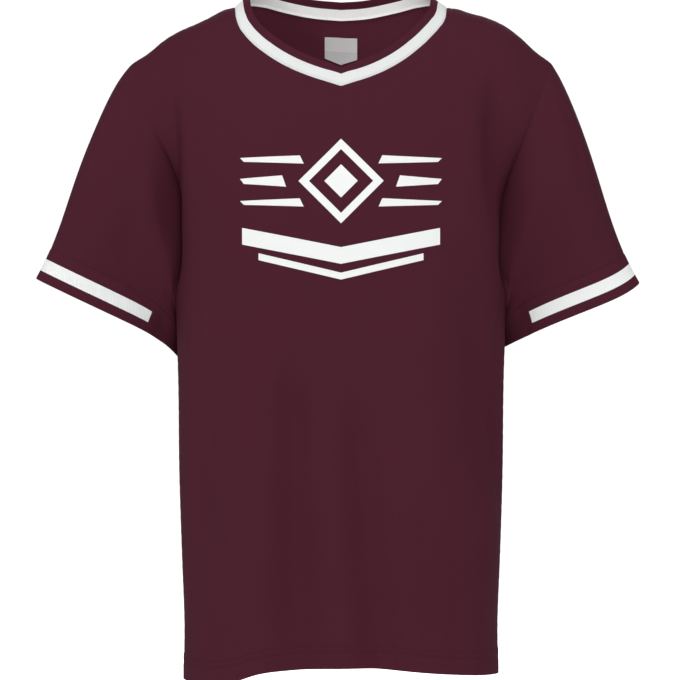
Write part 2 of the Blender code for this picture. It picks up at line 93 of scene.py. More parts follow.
# The wearer's left shoulder hangs higher by this much
LEFT_SHOULDER = {
    "across": (0.101, 0.112, 0.131, 0.152, 0.1665, 0.177, 0.1845, 0.200, 0.224, 0.240),
    "lift": (0.0, 0.0008, 0.0036, 0.0070, 0.0066, 0.0055, 0.0040, 0.0028, 0.0018, 0.0018),
}
NECK_CROWN = {
    -1.0: {"across": (0.0, 0.060, 0.096), "height": (0.006, 0.007, 0.004)},
    1.0: {"across": (0.0, 0.030, 0.062, 0.085, 0.101),
          "height": (0.053, 0.051, 0.0455, 0.031, 0.014)},
}

# Necklines, from the middle to the side-neck point
NECKLINE = {
    -1.0: {"across": (0.0, 0.012, 0.036, 0.0525, 0.0774, 0.0935, 0.1015, 0.1078, 0.1102,
                      0.1112),
           "height": (-0.0894, -0.0854, -0.0770, -0.0696, -0.0542, -0.0405, -0.0310, -0.0190,
                      -0.0095, -0.0005)},
    1.0: {"across": (0.0, 0.030, 0.062, 0.085, 0.101, 0.1112),
          "height": (-0.0065, -0.0045, 0.0012, 0.0060, 0.0055, -0.0005)},
}

# The front neckline runs higher by this much at the wearer's left
LEFT_NECK = {
    "across": (0.0, 0.035, 0.062, 0.083, 0.097, 0.1050, 0.1112),
    "lift": (0.0, 0.0006, 0.0020, 0.0042, 0.0054, 0.0045, 0.0),
}

# Hem heights across the body, from the wearer's right side seam to the left one
HEM = {
    -1.0: {"across": (-0.165, -0.140, -0.110, -0.087, -0.050, 0.0, 0.062, 0.110, 0.138, 0.165),
           "height": (-0.7050, -0.7065, -0.7020, -0.6940, -0.6896, -0.6865, -0.6896, -0.6944,
                      -0.6970, -0.6990)},
    1.0: {"across": (-0.165, -0.060, 0.070, 0.165), "height": (-0.7050, -0.6990, -0.7000, -0.6990)},
}

# Troughs that the front (-1) and the back (1) hang in, each from a top point to a bottom point.
# bow bends the line towards +X in its middle, the two widths are its flanks towards -X and +X,
# spread is the size at the top over the size at the foot, and the fades are shares of its length.
FOLD_COLUMNS = ("top_across", "top_height", "bottom_across", "bottom_height", "bow",
                "width_minus", "width_plus", "depth", "spread", "top_fade", "bottom_fade")
FOLDS = {
    -1.0: (
        (-0.052, -0.315, -0.048, -0.760, 0.002, 0.032, 0.030, 0.0170, 0.35, 0.25, 0.05),
        (0.012, -0.375, 0.047, -0.740, -0.002, 0.024, 0.026, 0.0135, 0.55, 0.25, 0.10),
        (0.130, -0.235, 0.176, -0.560, 0.003, 0.032, 0.030, 0.0120, 1.00, 0.40, 0.40),
        (-0.108, -0.275, -0.156, -0.640, -0.004, 0.022, 0.020, 0.0090, 0.70, 0.35, 0.25),
        (0.122, -0.555, 0.121, -0.712, 0.000, 0.009, 0.009, 0.0022, 0.70, 0.40, 0.20),
        (-0.104, -0.580, -0.118, -0.730, 0.002, 0.010, 0.012, 0.0018, 0.60, 0.45, 0.10),
        (0.070, -0.470, 0.088, -0.700, 0.002, 0.013, 0.016, 0.0014, 0.70, 0.50, 0.20),
        (-0.175, -0.062, -0.177, -0.270, 0.000, 0.013, 0.010, 0.0090, 0.70, 0.40, 0.40),
        (-0.181, -0.215, -0.182, -0.385, 0.000, 0.022, 0.014, 0.0040, 0.90, 0.45, 0.15),
        (0.157, -0.055, 0.168, -0.250, 0.000, 0.016, 0.016, 0.0125, 0.80, 0.40, 0.45),
        (0.185, -0.180, 0.190, -0.385, 0.001, 0.018, 0.030, 0.0060, 0.90, 0.45, 0.15),
    ),
    1.0: (
        (0.070, -0.320, 0.058, -0.760, -0.004, 0.015, 0.018, 0.0060, 0.40, 0.40, 0.05),
        (-0.020, -0.390, -0.034, -0.740, 0.003, 0.014, 0.012, 0.0038, 0.50, 0.45, 0.10),
        (-0.104, -0.240, -0.152, -0.590, -0.006, 0.015, 0.018, 0.0062, 0.80, 0.35, 0.30),
        (0.112, -0.290, 0.150, -0.660, 0.005, 0.013, 0.012, 0.0048, 0.60, 0.35, 0.25),
        (-0.098, -0.560, -0.101, -0.720, 0.000, 0.010, 0.009, 0.0022, 0.70, 0.40, 0.15),
        (0.014, -0.560, 0.008, -0.730, 0.002, 0.010, 0.011, 0.0016, 0.60, 0.45, 0.10),
        (0.172, -0.080, 0.172, -0.335, 0.002, 0.007, 0.016, 0.0100, 0.60, 0.50, 0.12),
        (-0.164, -0.085, -0.172, -0.340, -0.002, 0.018, 0.008, 0.0105, 0.60, 0.50, 0.12),
        (-0.045, -0.055, 0.050, -0.062, -0.006, 0.012, 0.010, 0.0012, 1.00, 0.40, 0.40),
    ),
}
# The low lip beside a trough, as a share of its depth, at a place and with a half width in
# flank widths. A trough fades where less than FOLD_FACING of the normal points ahead or back.
LIP_SHARE = 0.08
LIP_PLACE = 1.9
LIP_HALF_WIDTH = 0.7
FOLD_FACING = 0.30

# How far the hung armhole seam stands forward of its smooth line by height: the upper sleeve
# flows on from the chest, and lower down the seam lies deep in the valley between sleeve and
# body. outward is the share that also goes outwards, and reach how fast it fades beside the
# seam at the wearer's right (-1) and left (1).
ARMHOLE_SHIFT = {
    "height": (-0.300, -0.280, -0.250, -0.215, -0.185, -0.160, -0.135, -0.110, -0.090, -0.072,
               -0.060),
    "forward": (0.0, -0.0110, -0.0180, -0.0165, -0.0100, -0.0010, 0.0060, 0.0080, 0.0060, 0.0025,
                0.0),
    "outward": 0.30,
    "reach": {-1.0: 0.013, 1.0: 0.020},
}

# Rows and columns of a panel's grid: the hem, up to the armpit and up to the shoulder, and half
# the columns by neck, shoulder and the last stretch before the side seam
HEM_ROWS = 22
LOWER_ROWS = 96
ARMHOLE_ROWS = 96
NECK_COLUMNS = 40
SHOULDER_COLUMNS = 26
SEAM_COLUMNS = 9
SEAM_SHARE = 0.965
SEAM_CROWDING = 1.3
EDGE_SAMPLES = 300
RING_SAMPLES = 801
# The panels are joined along these many rows at the sides and columns at each shoulder
SIDE_SEAM = HEM_ROWS + LOWER_ROWS + 1
SHOULDER_SEAM = SHOULDER_COLUMNS + SEAM_COLUMNS + 1


def hermite(part, start, end, start_slope, end_slope):
    """Cubic from start to end with these slopes, at parts of the way from 0 to 1."""
    return (start * (1 + 2 * part) * (1 - part) ** 2 + start_slope * part * (1 - part) ** 2
            + end * part ** 2 * (3 - 2 * part) + end_slope * part ** 2 * (part - 1))


def smooth_curve(known, values, wanted):
    """Cubic through a table's points, with each slope taken from the neighbours."""
    known = np.asarray(known, dtype=float)
    values = np.asarray(values, dtype=float)
    slopes = np.gradient(values, known)
    wanted = np.clip(wanted, known[0], known[-1])
    place = np.clip(np.searchsorted(known, wanted, side="right") - 1, 0, len(known) - 2)
    step = known[place + 1] - known[place]
    return hermite((wanted - known[place]) / step, values[place], values[place + 1],
                   slopes[place] * step, slopes[place + 1] * step)


def table_value(table, wanted):
    """Smooth curve through a table of two columns."""
    return smooth_curve(*table.values(), wanted)


def unit(vectors):
    """The vectors at length 1."""
    return vectors / np.linalg.norm(vectors, axis=-1, keepdims=True)


def line_length(points):
    """Length along a line of points from its first one."""
    return np.append(0.0, np.cumsum(np.linalg.norm(np.diff(points, axis=0), axis=1)))


def eased(value):
    """0 below 0, 1 above 1, and a smooth S between them."""
    value = np.clip(value, 0.0, 1.0)
    return value * value * (3 - 2 * value)


def ring_value(column, level):
    """A column of the body's ring table at any level."""
    return smooth_curve(BODY_RINGS["level"], BODY_RINGS[column], level)


def crown_height(across, side):
    """Height at which a vertical cut through the body closes over the shoulder."""
    known = NECK_CROWN[side]["across"] + SHOULDER_LINE["across"]
    values = NECK_CROWN[side]["height"] + SHOULDER_LINE["height"]
    return smooth_curve(known, values, np.abs(across)) + table_value(LEFT_SHOULDER, across)


def body_point(turn, level, side):
    """Smooth surface of the front (side -1) or back (side 1): superellipse rings whose depth
    closes with the cosine, and whose height rises with the sine, of the lean over the shoulder."""
    width = ring_value("half_width", level)
    depth = ring_value("front_depth" if side < 0 else "back_depth", level)
    power = 2.0 / ring_value("squareness", level)
    x = width * np.sign(turn) * np.abs(np.sin(turn)) ** power
    lean = np.clip(level, 0.0, SHOULDER_ARC) / SHOULDER_ARC * math.pi / 2
    y = side * depth * np.abs(np.cos(turn)) ** power * np.cos(lean)
    over = CHEST_LEVEL + (crown_height(x, side) - CHEST_LEVEL) * np.sin(lean)
    z = np.where(level > 0.0, over, CHEST_LEVEL + level)
    return np.stack([x, y, z], axis=-1)


def surface_place(across, height, side):
    """Turn and level of the smooth surface's point with this x and z."""
    share = (height - CHEST_LEVEL) / (crown_height(across, side) - CHEST_LEVEL)
    lean = np.arcsin(np.clip(share, 0.0, 1.0))
    level = np.where(height > CHEST_LEVEL, lean / (math.pi / 2) * SHOULDER_ARC,
                     height - CHEST_LEVEL)
    share = np.clip(np.abs(across) / ring_value("half_width", level), 0.0, 1.0)
    turn = np.arcsin(share ** (ring_value("squareness", level) / 2.0))
    return np.sign(across) * turn, level


def top_edge(place, side, hand):
    """Turn and level of a panel's top edge at the wearer's right (-1) or left (1), at places from
    0 in the middle to 1 at the armhole: the neckline by equal lengths, then the shoulder seam by
    equal steps across."""
    sample = np.linspace(0.0, SIDE_NECK, EDGE_SAMPLES)
    height = table_value(NECKLINE[side], sample)
    if side < 0 < hand:
        height = height + table_value(LEFT_NECK, sample)
    turn, level = surface_place(sample, height, side)
    level[-1] = SHOULDER_ARC
    length = line_length(body_point(turn, level, side))
    wanted = np.clip(place / NECK_SHARE, 0.0, 1.0) * length[-1]
    width = ring_value("half_width", SHOULDER_ARC)
    part = np.clip((place - NECK_SHARE) / (1 - NECK_SHARE), 0.0, 1.0)
    across = SIDE_NECK + (width * SHOULDER_END_SHARE - SIDE_NECK) * part
    shoulder_turn = np.arcsin((across / width) ** (ring_value("squareness", SHOULDER_ARC) / 2.0))
    on_shoulder = place > NECK_SHARE
    return (np.where(on_shoulder, shoulder_turn, np.interp(wanted, length, turn)),
            np.where(on_shoulder, SHOULDER_ARC, np.interp(wanted, length, level)))


def grid_normals(points, closed, facing):
    """Unit normals of a grid, the cross product of its column and row directions, turned
    outwards by facing."""
    along_rows = np.gradient(points, axis=0)
    if closed:
        along_columns = np.roll(points, -1, axis=1) - np.roll(points, 1, axis=1)
    else:
        along_columns = np.gradient(points, axis=1)
    return unit(np.cross(along_columns, along_rows) * facing)


def lengths(points, axis):
    """Length of each grid line, along an axis, from its first point up to each point."""
    steps = np.linalg.norm(np.diff(points, axis=axis), axis=-1)
    pad = [(1, 0) if a == axis else (0, 0) for a in range(2)]
    return np.pad(np.cumsum(steps, axis=axis), pad)


def line_place(flat, start, end):
    """Where points of a plane lie by a line: the share of the way along it, and the distance
    beside it, positive on the left of its direction."""
    run = np.subtract(end, start)
    size = np.linalg.norm(run)
    offset = flat - np.array(start)
    return offset @ run / size ** 2, (run[0] * offset[..., 1] - run[1] * offset[..., 0]) / size


def fold_depth(points, normals, side):
    """Depth of the hanging troughs at each point of the side that faces the front (-1) or the
    back (1): a bell across the line, with a low lip beside it, eased in and out along it."""
    total = np.zeros(points.shape[:-1])
    for row in FOLDS[side]:
        fold = dict(zip(FOLD_COLUMNS, row))
        along, away = line_place(points[..., (0, 2)], (fold["top_across"], fold["top_height"]),
                                 (fold["bottom_across"], fold["bottom_height"]))
        inside = np.clip(along, 0.0, 1.0)
        away = away - fold["bow"] * 4 * inside * (1 - inside)
        grown = fold["spread"] + (1 - fold["spread"]) * inside
        away = np.abs(away) / (np.where(away > 0, fold["width_plus"], fold["width_minus"]) * grown)
        lip = np.exp(-((away - LIP_PLACE) / LIP_HALF_WIDTH) ** 2)
        bell = np.exp(-away ** 2) - LIP_SHARE * lip
        ends = eased(along / fold["top_fade"]) * eased((1 - along) / fold["bottom_fade"])
        total += fold["depth"] * grown * bell * ends
    return total * eased(side * normals[..., 1] / FOLD_FACING)


def slow_waves(points):
    """Very shallow unevenness of hanging cloth: a sum of long sine waves that cross slantwise."""
    return sum(depth * np.sin(points @ np.array(way) + start) for depth, *way, start in SLOW_WAVES)


def seam_valley(distance, run):
    """Depth near a seam: a narrow valley, and puckers that fade within their reach."""
    valley = SEAM_VALLEY["depth"] * np.exp(-(distance / SEAM_VALLEY["half_width"]) ** 2)
    first, second = (2 * math.pi / pitch for pitch in PUCKER["pitch"])
    wave = np.sin(first * run) + PUCKER["second"] * np.sin(second * run + PUCKER["start"])
    near = distance / PUCKER["reach"]
    height = PUCKER["depth"] / (1 + PUCKER["second"])
    return valley + height * wave * near * np.exp(1 - near * PUCKER["fade"])


def armhole_shift(seam):
    """How far each point of a smooth armhole seam is moved, as vectors: forward in front of the
    shoulder and backward behind it, and a little outward."""
    forward = smooth_curve(ARMHOLE_SHIFT["height"], ARMHOLE_SHIFT["forward"], seam[:, 2])
    outward = forward * ARMHOLE_SHIFT["outward"] * np.sign(seam[:, 0])
    return np.stack([outward, forward * np.sign(seam[:, 1]), 0 * forward], axis=-1)


def smooth_panel(side):
    """Smooth grid of a panel between its hem, its sides, the armholes and the top edge: turn and
    level run straight between them, plus corrections that grow towards the armholes."""
    neck = np.linspace(0.0, NECK_SHARE, NECK_COLUMNS + 1)
    shoulder = np.linspace(NECK_SHARE, SEAM_SHARE, SHOULDER_COLUMNS + 1)[1:]
    last = 1 - (1 - SEAM_SHARE) * np.linspace(1.0, 0.0, SEAM_COLUMNS + 1)[1:] ** SEAM_CROWDING
    half = np.concatenate([neck, shoulder, last])
    place = np.concatenate([-half[:0:-1], half])
    foot_turn = np.sign(place) * (math.pi / 2) * np.abs(place) ** COLUMN_POWER
    foot = body_point(foot_turn, np.full(len(place), BODY_RINGS["level"][0]), side)
    hem = table_value(HEM[side], foot[:, 0])
    armpit = ARMPIT_LEVEL - CHEST_LEVEL
    turned = HEM_HEIGHT / (ARMPIT_LEVEL - hem.mean())
    rise = np.concatenate([np.linspace(0.0, turned, HEM_ROWS + 1)[:-1],
                           np.linspace(turned, 1.0, LOWER_ROWS + 1)[:-1]])[:, None]
    lower_level = (hem - CHEST_LEVEL) * (1 - rise) + armpit * rise
    lower_turn = np.broadcast_to(foot_turn, lower_level.shape)

    top_turn, top_level = (
        np.where(place < 0, right, left)
        for right, left in zip(*(top_edge(np.abs(place), side, hand) for hand in (-1.0, 1.0))))
    top_turn = top_turn * np.sign(place)
    corner = top_turn[-1]
    rise = np.linspace(0.0, 1.0, ARMHOLE_ROWS + 1)[:, None]
    bend = np.clip(1 - rise / ARMHOLE_BOTTOM_SHARE, 0.0, 1.0) ** 2
    arm_turn = ARMHOLE_TURN + (math.pi / 2 - ARMHOLE_TURN) * bend + (corner - ARMHOLE_TURN) * rise
    arm_level = armpit + (SHOULDER_ARC - armpit) * rise ** ARMHOLE_RISE_POWER
    upper_turn = foot_turn * (1 - rise) + top_turn * rise
    upper_turn += place * np.abs(place) * (arm_turn - math.pi / 2 * (1 - rise) - corner * rise)
    upper_level = armpit * (1 - rise) + top_level * rise
    upper_level += place ** 2 * (arm_level - armpit * (1 - rise) - SHOULDER_ARC * rise)
    turn = np.concatenate([lower_turn, upper_turn])
    level = np.concatenate([lower_level, upper_level])
    return turn, level, body_point(turn, level, side)


def hung_panel(side):
    """The panel as it hangs: the smooth grid with its folds, hem and seams pressed in along the
    normals, and its cloth coordinates in metres (across the wales, along them)."""
    turn, level, points = smooth_panels[side]
    normals = grid_normals(points, False, -side)
    across, upward = lengths(points, 1), lengths(points, 0)
    from_side = np.minimum(across, across[:, -1:] - across)
    depth = fold_depth(points, normals, side) + slow_waves(points) * eased(from_side / SLOW_FADE)
    share = np.ones((len(points), 1))
    share[SIDE_SEAM:] = ARMHOLE_SEAM_SHARE
    depth += share * seam_valley(from_side, upward) + seam_valley(upward[-1] - upward, across)
    depth -= HEM_RISE * eased((HEM_HEIGHT - upward) / HEM_STEP + 0.5)
    fast, slow = NEEDLE_GROOVE["waves"]
    for line in NEEDLE_LINES:
        wave = np.sin(across * fast + line * NEEDLE_GROOVE["start"]) * np.sin(across * slow)
        bell = np.exp(-((upward - line) / NEEDLE_GROOVE["half_width"]) ** 2)
        depth += NEEDLE_GROOVE["depth"] * (1 + NEEDLE_GROOVE["unevenness"] * wave) * bell
    ring_turn = np.linspace(-math.pi / 2, math.pi / 2, RING_SAMPLES)
    ring_length = line_length(body_point(ring_turn, np.zeros(RING_SAMPLES), side))
    wales = np.interp(turn, ring_turn, ring_length) - ring_length[RING_SAMPLES // 2]
    hung = points - normals * depth[..., None]
    first = SIDE_SEAM - 1
    for column, hand, distance in ((0, -1.0, across), (-1, 1.0, across[:, -1:] - across)):
        fade = np.exp(-distance[first:] / ARMHOLE_SHIFT["reach"][hand])
        hung[first:] += armhole_shift(points[first:, column])[:, None] * fade[..., None]
    return hung, np.stack([wales, level], axis=-1)


def shell_faces(rows, columns, closed):
    """Corner numbers of a wall's faces on a grid: outer sheet, inner sheet, then the rims."""
    index = np.arange(rows * columns).reshape(rows, columns)
    if closed:
        index = np.concatenate([index, index[:, :1]], axis=1)
    outer = np.stack([index[:-1, :-1], index[:-1, 1:], index[1:, 1:], index[1:, :-1]], axis=-1)
    outer = outer.reshape(-1, 4)
    edges = [index[0], index[-1, ::-1]] + ([] if closed else [index[::-1, 0], index[:, -1]])
    count = rows * columns
    rims = [np.stack([edge[1:], edge[:-1], edge[:-1] + count, edge[1:] + count], axis=-1)
            for edge in edges]
    return np.concatenate([outer, outer[:, [0, 3, 2, 1]] + count] + rims)


def both_faces(points, half):
    """Corners of a wall round a grid: its outer points, then its inner ones."""
    return np.concatenate([(points + half).reshape(-1, 3), (points - half).reshape(-1, 3)])


def mesh_piece(name, corners, faces, material, sharp_angle):
    """A mesh object at the origin, smooth but for edges sharper than an angle in degrees."""
    mesh = bpy.data.meshes.new(name)
    mesh.from_pydata(corners, [], faces)
    mesh.materials.append(material)
    mesh.shade_smooth()
    mesh.set_sharp_from_angle(angle=math.radians(sharp_angle))
    piece = bpy.data.objects.new(name, mesh)
    bpy.context.scene.collection.objects.link(piece)
    return piece


def cloth_shell(name, points, cloth_uv, thickness, closed, facing, material):
    """A closed thin wall around a grid, half its thickness to each side, with the cloth
    coordinates of the grid as its UV map and an attribute that is 1 on the inner side, where the
    cloth materials paint light."""
    rows, columns = points.shape[:2]
    half = grid_normals(points, closed, facing) * (np.asarray(thickness) / 2)
    faces = shell_faces(rows, columns, closed)
    if facing < 0:
        faces = faces[:, ::-1]
    piece = mesh_piece(name, both_faces(points, half), faces, material, 60.0)
    uv = np.concatenate([cloth_uv.reshape(-1, 2)] * 2)[faces.reshape(-1)]
    layer = piece.data.uv_layers.new(name="cloth")
    layer.data.foreach_set("uv", uv.astype(np.float32).reshape(-1))
    inner = np.repeat(np.array([0.0, 1.0], dtype=np.float32), rows * columns)
    piece.data.attributes.new("inner", "FLOAT", "POINT").data.foreach_set("value", inner)
    return piece


def shader_node(tree, kind, inputs=(), **settings):
    """A shader node of this kind with its settings, and its inputs set to values or linked to
    sockets."""
    made = tree.nodes.new("ShaderNode" + kind)
    for key, value in settings.items():
        setattr(made, key, value)
    for key, value in dict(inputs).items():
        if isinstance(value, bpy.types.NodeSocket):
            tree.links.new(value, made.inputs[key])
        else:
            made.inputs[key].default_value = value
    return made


def maths(tree, operation, *values):
    """The output of a Math node on values or sockets."""
    return shader_node(tree, "Math", enumerate(values), operation=operation).outputs[0]


def multiplied(tree, colour, factor):
    """A colour (values or socket) times a factor."""
    return shader_node(tree, "VectorMath", {0: colour, 1: factor}, operation="MULTIPLY").outputs[0]


def mixed(tree, share, first, second):
    """The colour between two colours (values or sockets) at a share from 0 to 1."""
    return shader_node(tree, "Mix", {"Factor": share, 6: first, 7: second},
                       data_type="RGBA").outputs[2]


def object_noise(tree, scale, detail):
    """A noise's value on Object coordinates."""
    place = shader_node(tree, "TexCoord").outputs["Object"]
    return shader_node(tree, "TexNoise",
                       {"Vector": place, "Scale": scale, "Detail": detail}).outputs["Fac"]


def group_tree(name, inputs, output):
    """An empty node group with inputs of the given kinds and one float output: the group, the
    sockets of its inputs and the socket of its output."""
    tree = bpy.data.node_groups.new(name, "ShaderNodeTree")
    for label, kind in inputs.items():
        tree.interface.new_socket(label, in_out="INPUT", socket_type="NodeSocket" + kind)
    tree.interface.new_socket(output, in_out="OUTPUT", socket_type="NodeSocketFloat")
    given, result = tree.nodes.new("NodeGroupInput"), tree.nodes.new("NodeGroupOutput")
    return tree, given.outputs, result.inputs[output]


def knit_face_group():
    """Face of a knit on cloth coordinates: wales as rounded columns, broken into slanting
    stitches along each column. Gives the height of the yarn, from 0 to 1."""
    tree, given, result = group_tree(
        "knit_face", {"Cloth": "Vector", "Wale": "Float", "Course": "Float"}, "Height")
    place = shader_node(tree, "SeparateXYZ", {0: given["Cloth"]})
    wale = maths(tree, "FRACT", maths(tree, "DIVIDE", place.outputs[0], given["Wale"]))
    middle = maths(tree, "ABSOLUTE", maths(tree, "SUBTRACT", wale, 0.5))
    column = maths(tree, "COSINE", maths(tree, "MULTIPLY", middle, math.pi))
    course = maths(tree, "DIVIDE", place.outputs[1], given["Course"])
    slant = maths(tree, "ADD", course, maths(tree, "MULTIPLY", middle, STITCH_SLANT))
    stitch = maths(tree, "COSINE", maths(tree, "MULTIPLY", slant, 2 * math.pi))
    stitch = maths(tree, "MULTIPLY_ADD", stitch, STITCH_DIP, 1 - STITCH_DIP)
    tree.links.new(maths(tree, "MULTIPLY", column, stitch), result)
    return tree


def dye_tone_group():
    """Slight unevenness of dyed cloth: one slow noise and one fine one on Object coordinates.
    Gives a factor near 1 for the colour's brightness."""
    tree, given, result = group_tree("dye_tone", {"Amount": "Float"}, "Factor")
    both = maths(tree, "ADD", object_noise(tree, 9.0, 2.0), object_noise(tree, 620.0, 1.0))
    swing = maths(tree, "MULTIPLY", maths(tree, "SUBTRACT", both, 1.0), given["Amount"])
    tree.links.new(maths(tree, "ADD", swing, 1.0), result)
    return tree


# Lean of the knit's stitches, in courses a wale, and how far the yarn dips between them
STITCH_SLANT = 1.6
STITCH_DIP = 0.18
knit_face = knit_face_group()
dye_tone = dye_tone_group()
MAROON = (0.0560, 0.0113, 0.0210, 1.0)
# Painted light: the cloth's inner side takes this lighter maroon in place of light that reaches the
# inside of the jersey.
PAINTED_LIGHT_INNER_MAROON = (0.1150, 0.0245, 0.0430, 1.0)
# shade is the colour's factor between the wales and on them: painted shade in the dips between the
# wales and painted light on their crowns
INTERLOCK = {"wale": 0.00115, "course": 0.00095, "bump": 0.00009, "shade": (0.86, 1.06),
             "unevenness": 0.10}


def principled(name, constants):
    """A Principled material with its plain constants: the material, its nodes and its shader."""
    material = bpy.data.materials.new(name)
    material.use_nodes = True
    shader = material.node_tree.nodes["Principled BSDF"]
    for label, value in constants.items():
        shader.inputs[label].default_value = value
    return material, material.node_tree, shader


def add_bump(tree, shader, height, distance):
    """Puts a height on the shader as a bump of this distance."""
    bump = shader_node(tree, "Bump", {"Height": height, "Distance": distance, "Strength": 1.0})
    tree.links.new(bump.outputs["Normal"], shader.inputs["Normal"])


def add_colour(tree, shader, colour, unevenness):
    """Puts a colour (values or socket), times the dye's tone, on the shader."""
    tone = shader_node(tree, "Group", {"Amount": unevenness}, node_tree=dye_tone)
    toned = multiplied(tree, colour, tone.outputs["Factor"])
    tree.links.new(toned, shader.inputs["Base Color"])


def cloth_material(name, constants):
    """A matt Principled cloth: the material, its nodes, its shader and the socket of its cloth
    coordinates."""
    material, tree, shader = principled(name, {"Specular IOR Level": 0.03, **constants})
    return material, tree, shader, shader_node(tree, "UVMap", uv_map="cloth").outputs["UV"]


def inner_side(tree):
    """The mask of the cloth's inner side, where the cloth materials paint light."""
    return shader_node(tree, "Attribute", attribute_name="inner").outputs["Fac"]


def add_knit(tree, shader, cloth, yarn, knit):
    """Puts the knit's relief as a bump, and the yarn's colour with painted shade between the
    wales and painted light on them, on the shader.
    """
    given = {"Cloth": cloth, "Wale": knit["wale"], "Course": knit["course"]}
    height = shader_node(tree, "Group", given, node_tree=knit_face).outputs["Height"]
    add_bump(tree, shader, height, knit["bump"])
    low, high = knit["shade"]
    # Painted shade between the wales and painted light on their crowns, from the yarn's height
    shade = shader_node(tree, "MapRange", {"Value": height, "To Min": low, "To Max": high})
    colour = multiplied(tree, yarn, shade.outputs["Result"])
    add_colour(tree, shader, colour, knit["unevenness"])


def interlock_cloth():
    """Maroon polyester interlock: matt, with painted shade between its fine wales and painted light
    on them, and painted light that makes its inner side a little lighter."""
    material, tree, shader, cloth = cloth_material("maroon_interlock", {"Roughness": 0.72})
    # Painted light: the yarn's colour is lighter on the inner side.
    yarn = mixed(tree, inner_side(tree), MAROON, PAINTED_LIGHT_INNER_MAROON)
    add_knit(tree, shader, cloth, yarn, INTERLOCK)
    return material


maroon_interlock = interlock_cloth()
smooth_panels = {side: smooth_panel(side) for side in (-1.0, 1.0)}
front_points, front_uv = hung_panel(-1.0)
back_points, back_uv = hung_panel(1.0)
# The side and shoulder seams join the panels, so both take the middle line between them
for edge in (np.s_[:SIDE_SEAM, 0], np.s_[:SIDE_SEAM, -1],
             np.s_[-1, :SHOULDER_SEAM], np.s_[-1, -SHOULDER_SEAM:]):
    middle = (front_points[edge] + back_points[edge]) / 2
    front_points[edge] = middle
    back_points[edge] = middle
front_panel = cloth_shell("front_panel", front_points, front_uv, CLOTH_THICKNESS, False, 1.0,
                          maroon_interlock)
back_panel = cloth_shell("back_panel", back_points, back_uv, CLOTH_THICKNESS, False, -1.0,
                         maroon_interlock)
for panel, node in ((front_panel, "front"), (back_panel, "back")):
    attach(panel, "root")
    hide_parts(node)


# Sleeves. Each is one piece of the same interlock, closed under the arm and set into the
# armhole, and it hangs at a slant with a soft valley where it leaves the body.

# Directions of the sleeve's lines where they start and end: at the underarm, front, top and back
SLEEVE_START = {"across": (0.04, 0.80, 0.57, 0.80), "ahead": (-0.25, 0.45, 0.00, -0.45),
                "up": (-0.97, -0.40, -0.82, -0.40)}
SLEEVE_END = {"across": (0.05, 0.40, 0.495, 0.40), "ahead": (0.00, 0.05, 0.00, -0.05),
              "up": (-1.00, -0.92, -0.87, -0.92)}
# The outer and the underarm corner of each cuff's edge, how far its top line swings out, and how
# far the edge sags at the underarm and curls up at the outer end, with the powers of both curves
SLEEVES = {
    "right": {"hand": -1.0, "outer": (0.3215, -0.2855), "inner": (0.1725, -0.3560),
              "swing": 0.075, "sag": (0.0130, 11.0), "curl": (0.0, 1.0)},
    "left": {"hand": 1.0, "outer": (0.3150, -0.2970), "inner": (0.1710, -0.3530),
             "swing": -0.05, "sag": (0.0060, 5.0), "curl": (0.0070, 10.0)},
}
CUFF_HALF_DEPTH = 0.047
CUFF_MIDDLE_Y = 0.010
CUFF_INNER_SETBACK = 0.026
CUFF_SQUARENESS = 2.3
CUFF_SEAM_SHARE = 0.20
CUFF_HEIGHT = 0.035
SLEEVE_ROWS = 84
CUFF_ROWS = 30
JOIN_REACH = 0.010
ROW_CROWDING = 0.4
LINE_SAMPLES = 101
BODY_FOLD_FADE = 0.03
DRAG_FADES = (0.40, 0.25)

# Shallow drag lines on each sleeve, from a start to an end, as (turn from the underarm towards
# the front in degrees, share of the way down), with half width and depth
SLEEVE_FOLDS = {
    "right": (
        (150.0, 0.10, 118.0, 0.92, 0.012, 0.0016), (78.0, 0.30, 92.0, 0.98, 0.010, 0.0020),
        (205.0, 0.15, 232.0, 0.90, 0.013, 0.0018), (285.0, 0.25, 262.0, 0.95, 0.012, 0.0024),
        (38.0, 0.45, 52.0, 1.00, 0.009, 0.0016), (322.0, 0.35, 305.0, 0.98, 0.010, 0.0018)),
    "left": (
        (146.0, 0.05, 124.0, 0.85, 0.011, 0.0019), (84.0, 0.35, 96.0, 1.00, 0.011, 0.0017),
        (212.0, 0.20, 226.0, 0.95, 0.012, 0.0016), (276.0, 0.20, 270.0, 0.90, 0.013, 0.0026),
        (44.0, 0.40, 56.0, 0.95, 0.010, 0.0018), (318.0, 0.40, 300.0, 1.00, 0.009, 0.0016)),
}


def round_places(table, angle):
    """Directions round a sleeve: the Fourier curve through underarm, front, top and back."""
    rows = np.stack(list(table.values()), axis=-1)
    under, front, top, back = rows
    angle = angle[:, None]
    return unit(rows.mean(axis=0) + (under - top) / 2 * np.cos(angle)
                + (front - back) / 2 * np.sin(angle)
                + (under - front + top - back) / 4 * np.cos(2 * angle))


